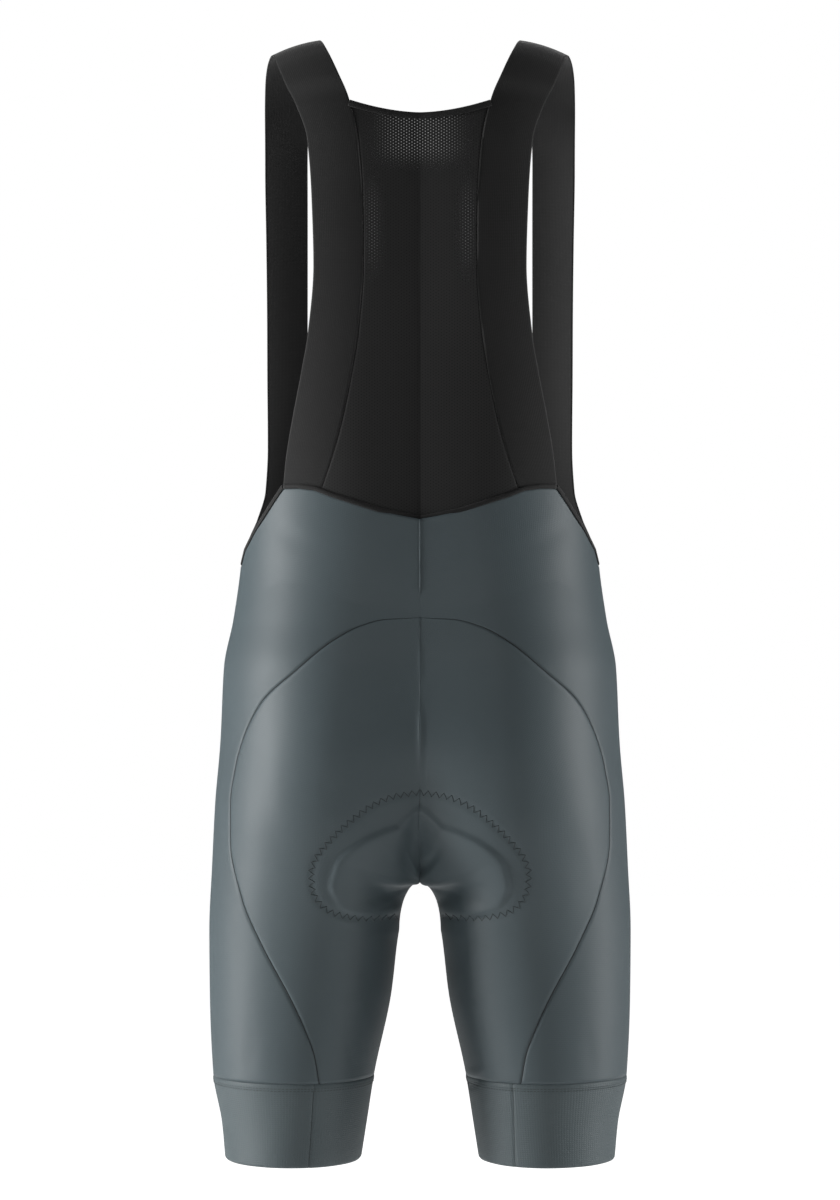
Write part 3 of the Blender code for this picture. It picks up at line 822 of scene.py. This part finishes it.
band_grey = jersey("gripper_band_grey", "#465053", "#4c5659", 0.55, 0.0026, 0.0008)
for suffix, side in (("right", 1), ("left", -1)):
    place = band_place_on(side)
    band = sheet_of(f"band_{suffix}", 420, 64, place, band_grey, BAND_WALL, side, BAND_CUT, True)
    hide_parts(f"leg_band_{suffix}")
    thread(f"band_stitching_{suffix}", band_stitches(side), 0.22, pad_thread)

# ----------------------------------------------------------
# Straps: one piece of soft black knit a side, from the back waist over the shoulder to the front
# waist, cut raw at the edges, which roll a little.
# ----------------------------------------------------------

EDGE_LIFT = 0.3             # gap between the jersey's top edge and the black cloth
# A section of the strap a row: x and height of its inner edge, then of its outer edge, which lie
# on the worn shape. Over the shoulder, y follows each height.
STRAP_BACK = (
    (88, 597.4, 121, 600.6),
    (77, 629, 118, 629),
    (67, 668, 112, 664),
    (59.5, 706, 105, 700),
    (54, 743, 98.5, 737),
    (50, 795, 93.5, 795),
    (50.5, 852, 95, 852),
    (54.5, 905, 99, 905),
    (61.5, 938, 108, 933),
)
STRAP_SHOULDER = (
    (72, 966, -70, 119, 957, -62),
    (82, 989, -44, 127, 977, -39),
    (88, 1001, -20, 131, 988, -18),
    (91, 1004.5, 2, 134, 991, 3),
    (95, 1000, 26, 138, 986, 24),
    (99, 984, 50, 141, 970, 44),
    (102, 955, 68, 142, 942, 59),
)
STRAP_FRONT = (
    (104, 900, 142, 895),
    (104, 830, 141, 830),
    (104, 760, 140, 760),
    (104, 700, 139.5, 700),
    (104, 640, 139, 640),
    (104, 600, 141, 600),
    (104, 582, 148, 574),
    (104, 570, 156, 552),
    (104, 561.2, 159, 534.2),
)


SHOULDER_CROWN = 2.0        # how much the strap arches across the shoulder
FOOT_TUCK = (0.8, 0.9, 3.2)     # how far the strap's front foot goes in and down behind the jersey
STRAP_WALL = 1.1


def on_form(x, height, side):
    """Points of the worn shape at these x and rows, on the front (+1) or the back (-1)."""
    return cloth(share_at(x, height, side), height)


def strap_table(columns=17):
    """Sections of the strap, from its back waist edge to the front waist: points across each."""
    sections = []
    shares = np.linspace(1, 0, columns)
    for part, side in ((STRAP_BACK, -1), (STRAP_SHOULDER, 0), (STRAP_FRONT, 1)):
        for row in np.array(part):
            inner, outer = np.split(row, 2)
            x, h, *y = (inner + (outer - inner) * shares[:, None]).T
            if not sections:
                h = back_top(x) + EDGE_LIFT
            if side:
                sections.append(on_form(x, h, side))
            else:
                crown = SHOULDER_CROWN * (1 - (2 * shares - 1) ** 2)
                sections.append(np.stack([x, y[0], h + crown], axis=-1))
    return np.array(sections)


STRAP = strap_table()
STRAP[-1] -= FOOT_TUCK
STRAP_REACH = np.append(0, np.cumsum(np.linalg.norm(np.diff(STRAP.mean(axis=1), axis=0), axis=1)))


def on_sections(table, reach, column, where):
    """Points of a table of sections: where along reach they lie, and at which column of it."""
    columns = table.shape[1]
    low = np.clip(column.astype(int), 0, columns - 2)
    part = (column - low)[:, None]
    every = np.stack([
        np.stack([spline(reach, table[:, c, axis], where) for axis in range(3)], axis=-1)
        for c in range(columns)
    ])
    index = np.arange(len(column))
    return every[low, index] * (1 - part) + every[low + 1, index] * part


def strap_place(u, v):
    """Points of the strap: u across it from its outer edge, v along it from the back waist."""
    return on_sections(STRAP, STRAP_REACH, u * (STRAP.shape[1] - 1), v * STRAP_REACH[-1])


def black_knit(name, colour, rough, pitch):
    """Brushed black polyester knit: dull, with a faint pale bloom at grazing angles. Its colour
    follows the knit's height: painted light on the raised loops, painted shade in the furrows.
    """
    made, tree, shader = new_material(name)
    place = add_node(tree, "ShaderNodeTexCoord")
    knit = knit_height(tree, place, pitch, 0.8 * pitch, 0.8)
    bump = add_node(tree, "ShaderNodeBump", {"Strength": 0.35, "Distance": 0.0003},
                    [("Height", knit, "Value")])
    # Lighter towards #232323 where the knit stands high: painted light and shade on its relief.
    shade = add_node(tree, "ShaderNodeMix", {"A": linear(colour), "B": linear("#232323")},
                     [("Factor", knit, "Value")], data_type="RGBA")
    tree.links.new(shade.outputs["Result"], shader.inputs["Base Color"])
    tree.links.new(bump.outputs["Normal"], shader.inputs["Normal"])
    shader.inputs["Roughness"].default_value = rough
    shader.inputs["Specular IOR Level"].default_value = 0.25
    shader.inputs["Sheen Weight"].default_value = 0.12
    shader.inputs["Sheen Roughness"].default_value = 0.5
    return made


strap_knit = black_knit("brushed_black_strap_knit", "#141414", 0.8, 0.0016)
for suffix, side in (("right", 1), ("left", -1)):
    strap = sheet_of(f"strap_cloth_{suffix}", 28, 420, strap_place, strap_knit, STRAP_WALL, side,
                     (0.045, 0.97))
    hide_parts(f"strap_{suffix}")

# ----------------------------------------------------------
# Back panel: one piece of black micro mesh between the straps, from the waist seam up to a
# shallow neck curve.
# ----------------------------------------------------------

NECK_CENTRE = 927.0
BACK_ROWS = len(STRAP_BACK)
MESH_TUCK = 3.0             # how far the mesh reaches in under each strap
MESH_PITCH = 2.7            # real mesh has holes 2 mm apart, drawn a little coarser
MESH_WALL = 0.8
UNDER_STRAP = 1.35          # how far the mesh lies inside the strap's face there
SLACK = 0.5                 # height of the soft waves in the mesh


def mesh_edge(height):
    """x of the strap's inner edge on the back at a height."""
    return spline(STRAP[:BACK_ROWS, -1, 2], STRAP[:BACK_ROWS, -1, 0], height)


def neck_height(share):
    """Height of the neck edge at a share of the way from the centre to the strap."""
    return NECK_CENTRE + (STRAP[BACK_ROWS - 1, -1, 2] - NECK_CENTRE) * share ** 1.85


def mesh_place(u, v):
    """The mesh: u from strap to strap, v from the waist seam to the neck."""
    share = np.abs(2 * u - 1)
    foot = WAIST_BACK + EDGE_LIFT
    x = share * 60
    for _ in range(5):
        waist = back_top(x) + EDGE_LIFT
        level = foot + (NECK_CENTRE - foot) * v + (waist - foot) * (1 - v)
        height = level + (neck_height(share) - NECK_CENTRE) * v ** 2
        x = share * (mesh_edge(height) + MESH_TUCK)
    t = share_at(x, height, -1)
    under = smoothstep((x - mesh_edge(height) + 1.5) / 1.5)
    slack = SLACK * np.cos(x / 14.0) * np.sin(height / 47.0)
    inward = UNDER_STRAP * under - slack * 0.6
    points = on_form(x, height, -1) - outward(t, height) * inward[:, None]
    points[:, 0] *= np.sign(2 * u - 1)
    return points


def micro_mesh(name):
    """Black micro mesh: rows of small round holes in a dull knit. The holes are painted near
    black, a painted shade for the dark inside of the garment seen through them, and they let
    light through only as far as the openness map says: most near the neck and beside the straps.
    """
    made, tree, shader = new_material(name)
    place = add_node(tree, "ShaderNodeTexCoord")
    waves = []
    for turn in (0, 60, 120):
        angle = math.radians(turn)
        wave_number = 2 * math.pi / (MESH_PITCH * MM * math.cos(math.pi / 6))
        way = (math.cos(angle) * wave_number, 0, math.sin(angle) * wave_number)
        phase = add_node(tree, "ShaderNodeVectorMath", {1: way}, [(0, place, "Object")],
                         operation="DOT_PRODUCT")
        wave = add_node(tree, "ShaderNodeMath", {}, [(0, phase, "Value")], operation="COSINE")
        waves.append(wave)
    pair = add_node(tree, "ShaderNodeMath", {}, [(0, waves[0], 0), (1, waves[1], 0)],
                    operation="ADD")
    lattice = add_node(tree, "ShaderNodeMath", {}, [(0, pair, 0), (1, waves[2], 0)],
                       operation="ADD")
    hole = add_node(tree, "ShaderNodeMapRange",
                    {"From Min": 1.6, "From Max": 2.2, "To Min": 0.0, "To Max": 1.0},
                    [("Value", lattice, 0)])
    density = add_node(tree, "ShaderNodeVertexColor", layer_name="openness")
    open_part = add_node(tree, "ShaderNodeMath", {}, [(0, hole, "Result"), (1, density, "Color")],
                         operation="MULTIPLY")
    cover = add_node(tree, "ShaderNodeMath", {0: 1.0}, [(1, open_part, 0)], operation="SUBTRACT")
    # Holes painted near black against the yarn's dark grey: painted shade for the inside seen
    # through them.
    shade = add_node(tree, "ShaderNodeMix", {"A": linear("#202020"), "B": linear("#060606")},
                     [("Factor", hole, "Result")], data_type="RGBA")
    bump = add_node(tree, "ShaderNodeBump", {"Strength": 0.5, "Distance": 0.0004},
                    [("Height", cover, 0)])
    tree.links.new(shade.outputs["Result"], shader.inputs["Base Color"])
    tree.links.new(cover.outputs["Value"], shader.inputs["Alpha"])
    tree.links.new(bump.outputs["Normal"], shader.inputs["Normal"])
    shader.inputs["Roughness"].default_value = 0.8
    shader.inputs["Specular IOR Level"].default_value = 0.25
    shader.inputs["Sheen Weight"].default_value = 0.1
    return made


def paint_openness(piece):
    """Stores how see-through the mesh's holes are at each point: most at the neck's middle and by
    the straps. Where it is low the holes stay opaque and show their painted shade.
    """
    data = piece.data
    layer = data.color_attributes.new("openness", "FLOAT_COLOR", "POINT")
    points = np.empty(len(data.vertices) * 3)
    data.vertices.foreach_get("co", points)
    x, _, z = points.reshape(-1, 3).T / MM
    height = z + SHOULDER_HEIGHT
    neck = np.exp(-(x / 38.0) ** 4) * smoothstep((height - 872.0) / 26.0)
    beside = mesh_edge(height) - np.abs(x)
    sides = np.exp(-((beside - 9.0) / 8.0) ** 2) * np.exp(-((height - 828.0) / 42.0) ** 4)
    amount = np.clip(neck + 0.6 * sides, 0, 1) * 0.5
    colours = np.repeat(amount[:, None], 4, axis=1)
    layer.data.foreach_set("color", colours.ravel())


micro_knit = micro_mesh("black_micro_mesh")
back_mesh = sheet_of("back_mesh", 120, 200, mesh_place, micro_knit, MESH_WALL, 1, (0.14, 0.36))
paint_openness(back_mesh)
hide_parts("back_mesh_panel")

# ----------------------------------------------------------
# Bindings: folded strips of black elastic knit, coverstitched over the neck edge, the back
# waist seam and the side openings.
# ----------------------------------------------------------

BINDING_CROWN = 0.5
BINDING_LIFT = 0.05
BINDING_WALL = 0.9
NARROW_BINDING = 4.0        # width of the strips along the waist and the openings
NECK_BINDING = 6.0


def binding_place(xs, heights, width, below):
    """Place function of a strip on the back of the cloth, below and above the line of xs."""
    t = share_at(xs, heights, -1)
    line = on_form(xs, heights, -1)
    normals = outward(t, heights)
    across = np.cross(normals, np.gradient(line, axis=0))
    across /= np.linalg.norm(across, axis=1)[:, None]
    across *= np.sign(across[:, 2].mean())
    reach = np.linspace(0, 1, len(xs))

    def place(u, v):
        bits = [
            np.stack([np.interp(u, reach, part[:, k]) for k in range(3)], axis=-1)
            for part in (line, normals, across)
        ]
        rise = BINDING_LIFT + BINDING_WALL + BINDING_CROWN * (1 - (2 * v - 1) ** 2)
        return bits[0] + bits[1] * rise[:, None] + bits[2] * (width * v - below)[:, None]
    return place


def whole_width(place):
    """The strip of both halves, from one half's place function."""
    def both(u, v):
        points = place(np.abs(2 * u - 1), v)
        side = np.sign(2 * u - 1)
        points[:, 0] = np.where(side == 0, 0, points[:, 0] * side)
        return points
    return both


binding_knit = black_knit("black_elastic_binding", "#0c0c0c", 0.7, 0.0014)
neck_share = np.linspace(0, 1, 40)
neck_x = neck_share * (mesh_edge(STRAP[BACK_ROWS - 1, -1, 2]) - 0.2)
neck_strip = whole_width(binding_place(neck_x, neck_height(neck_share), NECK_BINDING, 5.5))
waist_x = np.linspace(0, 120, 120)
waist_strip = whole_width(binding_place(waist_x, back_top(waist_x), NARROW_BINDING, 1.0))
for name, node, strip, size in (
    ("neck_edge", "neck_binding", neck_strip, (0.135, 0.006)),
    ("waist_edge", "waist_binding", waist_strip, (0.26, 0.004)),
):
    edge = sheet_of(name, 160, 6, strip, binding_knit, BINDING_WALL, 1, size)
    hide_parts(node)
opening_x = np.linspace(120.5, 159.4, 80)
opening_strip = binding_place(opening_x, back_top(opening_x), NARROW_BINDING, 1.6)
for suffix, side in (("right", 1), ("left", -1)):
    edge = sheet_of(f"opening_edge_{suffix}", 90, 6, opening_strip, binding_knit, BINDING_WALL,
                    side, (0.1, 0.004))
    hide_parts(f"opening_binding_{suffix}")

# ----------------------------------------------------------
# Strap seams: the flat seam between each strap and the mesh, sewn with black thread.
# ----------------------------------------------------------


STRAP_SEAM_FOOT = 598.0


def strap_seam_paths():
    """The strap's inner edge on the back, and its mirror image."""
    heights = np.linspace(STRAP_SEAM_FOOT, STRAP[BACK_ROWS - 1, -1, 2] - 0.5, 160)
    x = mesh_edge(heights) + 0.1
    t = share_at(x, heights, -1)
    back = on_form(x, heights, -1) - outward(t, heights) * 0.4
    return [mirrored(back, side) for side in (1, -1)]


thread("strap_seams", strap_seam_paths(), 0.5, yarn("black_seam_thread", "#070707"))

# ----------------------------------------------------------
# Chamois pad: dense foam laminated between brushed jersey, moulded in one piece and stitched
# inside the crotch.
# ----------------------------------------------------------

# Outline of the pad above the crotch, on the seat and on the front: row and x.
PAD_EDGE = (
    (262, 93), (275, 96), (292, 92), (308, 76), (322, 52), (334, 18),
)
PAD_FRONT_EDGE = ((262, 62), (290, 50), (320, 40), (345, 16))
PAD_DROP = 34.0             # how far the pad's wings reach down the inner leg
PAD_FAN = 6                 # sections round each wing
PAD_GAP = 2.4
PAD_COVERED = 1.2           # jersey over the pad
PAD_WALL = 4.0
PAD_EDGE_SHARE = 0.35       # the pad's wall at its edge, as a share of the full one
PAD_BEVEL = 0.22            # how far in the edge thins, as a share of the half width


def centre_normal(r, side):
    """Outward normal of the rise curve, in the centre plane."""
    if r <= CROTCH_ROW:
        return np.array((0.0, 0.0, -1.0))
    _, y_low, h_low = row_end(r - 1, side)
    _, y_high, h_high = row_end(r + 1, side)
    normal = np.array((0.0, side * (h_high - h_low), -side * (y_high - y_low)))
    return normal / np.linalg.norm(normal)


def pad_table(columns=12):
    """Rows of the pad's outer face, from the seat round the crotch to the front, half of each."""
    back_share = share_at(PAD_EDGE[0][1], CROTCH_ROW, -1)
    front_share = share_at(PAD_FRONT_EDGE[0][1], CROTCH_ROW, 1)
    spokes = [((1.0, r), (share_at(x, r, -1), r)) for r, x in PAD_EDGE[::-1]]
    for k in range(1, PAD_FAN):
        turn = math.pi * k / PAD_FAN
        foot = CROTCH_ROW - PAD_DROP * math.sin(turn)
        start = 1.0 if turn < math.pi / 2 else 0.0
        end = 1 - (1 - back_share) * math.cos(turn) if start else -front_share * math.cos(turn)
        spokes.append(((start, CROTCH_ROW), (end, foot)))
    spokes += [((0.0, r), (share_at(x, r, 1), r)) for r, x in PAD_FRONT_EDGE]
    rows = []
    for (start_t, start_r), (end_t, end_r) in spokes:
        row = []
        for u in np.linspace(0, 1, columns + 1):
            t, r = start_t + (end_t - start_t) * u, start_r + (end_r - start_r) * u
            normal = outward(t, r) if u else centre_normal(r, 1 if t < 0.5 else -1)
            at = np.array([t]), np.array([r])
            relief = seat_relief(*at, -1)[0] if t > 0.5 else 0.0
            inward = PAD_COVERED + PAD_GAP - min(relief, 0.0)
            row.append(cloth(t, r) - normal * inward + seat_dip(*at)[0])
        row[0][0] = 0.0
        rows.append(row)
    return np.array(rows)


PAD = pad_table()


def pad_place(u, v):
    """Points of the pad's outer face: u from side to side, v from the seat to the front."""
    last = len(PAD) - 1
    column = np.abs(2 * u - 1) * (PAD.shape[1] - 1)
    points = on_sections(PAD, np.arange(last + 1), column, v * last)
    points[:, 0] *= np.sign(2 * u - 1)
    return points


def thin_to_edges(piece, least):
    """Thins a pad's wall towards its edges through a vertex group."""
    group = piece.vertex_groups.new(name="fullness")
    uvs = {}
    for loop in piece.data.loops:
        uvs[loop.vertex_index] = piece.data.uv_layers[0].data[loop.index].uv
    wide = max(uv[0] for uv in uvs.values())
    long = max(uv[1] for uv in uvs.values())
    for index, uv in uvs.items():
        across, along = uv[0] / wide, uv[1] / long
        inset = min(across, 1 - across, along * 2, (1 - along) * 2) * 2
        full = float(smoothstep(inset / PAD_BEVEL))
        group.add([index], max(full, 0.01), "REPLACE")
    wall = piece.modifiers["wall"]
    wall.vertex_group = "fullness"
    wall.thickness_vertex_group = least


foam_cover = jersey("brushed_pad_cover", "#2f3639", "#3a4245", 0.9)
pad = sheet_of("pad_foam_insert", 60, 90, pad_place, foam_cover, PAD_WALL, 1, (0.19, 0.34))
thin_to_edges(pad, PAD_EDGE_SHARE)
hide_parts("chamois_pad")
